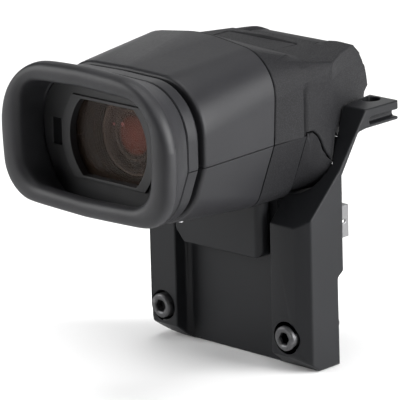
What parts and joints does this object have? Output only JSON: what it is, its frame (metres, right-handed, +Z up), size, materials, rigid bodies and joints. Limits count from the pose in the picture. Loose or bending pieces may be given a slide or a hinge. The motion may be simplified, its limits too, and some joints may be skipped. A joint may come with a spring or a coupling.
{
  "type": "electronic viewfinder",
  "caption": "Viewfinder head with an oval rubber eyecup, tilting on a hinge over a bracket that bolts to the back of a camera.",
  "frame": {"origin": "on the flat rear mounting face, on the centre plane of head and plate, at the height of the two mounting screws", "axes": "+X to the operator's right, +Y forward out of the mounting face towards the camera, +Z up; the eyepiece looks along -Y"},
  "size_m": [0.0782, 0.1206, 0.1149],
  "materials": {
    "bracket_metal": "fine satin dark grey",
    "grained_metal": "fine-grained dark grey",
    "casing_metal": "satin grey",
    "cup_rubber": "matte dark grey",
    "black_plastic": "matte black",
    "window_plastic": "glossy black",
    "lens_glass": "coated, clear",
    "black_steel": "blackened",
    "bright_steel": "bright",
    "bronze": "plain",
    "board": "green laminate"
  },
  "bodies": {
    "bracket": {"mount_bracket": "bracket_metal", "neck_block": "bracket_metal", "hinge_cradle": "grained_metal", "plug_shell": "bright_steel", "plug_insert": "black_plastic", "mount_screw_left": "black_steel", "mount_screw_right": "black_steel", "screw_clip_left": "bright_steel", "screw_clip_right": "bright_steel", "neck_screw_left": "black_steel", "neck_screw_right": "black_steel", "friction_sleeve_left": "bronze", "friction_sleeve_right": "bronze"},
    "head": {"upper_casing": "casing_metal", "lower_casing": "casing_metal", "rear_housing": "grained_metal", "lower_rear_housing": "grained_metal", "top_panel": "grained_metal", "eyecup": "cup_rubber", "eyepiece_bezel": "black_plastic", "eyepiece_glass": "lens_glass", "eye_sensor_window": "window_plastic", "eye_sensor_board": "board", "lens_guide": "black_plastic", "display_holder": "black_plastic", "display_panel": "window_plastic", "display_board": "board", "main_board": "board", "hinge_pin_left": "bright_steel", "hinge_pin_right": "bright_steel", "friction_washer_left": "bronze", "friction_washer_right": "bronze", "display_screw_1": "bright_steel", "display_screw_2": "bright_steel", "display_screw_3": "bright_steel", "display_screw_4": "bright_steel", "board_screw_1": "bright_steel", "board_screw_2": "bright_steel", "board_screw_3": "bright_steel", "board_screw_4": "bright_steel"},
    "lens_carriage": {"lens_cell": "black_plastic", "lens_retaining_ring": "black_steel", "lens_1": "lens_glass", "lens_2": "lens_glass", "lens_3": "lens_glass"},
    "dial": {"diopter_dial": "black_plastic"}
  },
  "joints": [
    {"name": "head_tilt", "type": "hinge", "parent": "bracket", "child": "head", "pos_m": [0, 0.015, 0.072], "axis": [-1, 0, 0], "range_deg": [0, 60]},
    {"name": "dioptre_turn", "type": "hinge", "parent": "head", "child": "dial", "pos_m": [-0.0335, -0.0485, 0.082], "axis": [1, 0, 0], "range_deg": [-60, 60]},
    {"name": "lens_slide", "type": "slide", "parent": "head", "child": "lens_carriage", "axis": [0, 1, 0], "range_m": [-0.00195, 0.00195]}
  ],
  "couplings": [
    {"joint": "dioptre_turn", "follows": "lens_slide", "rad_per_m": -526.3}
  ]
}
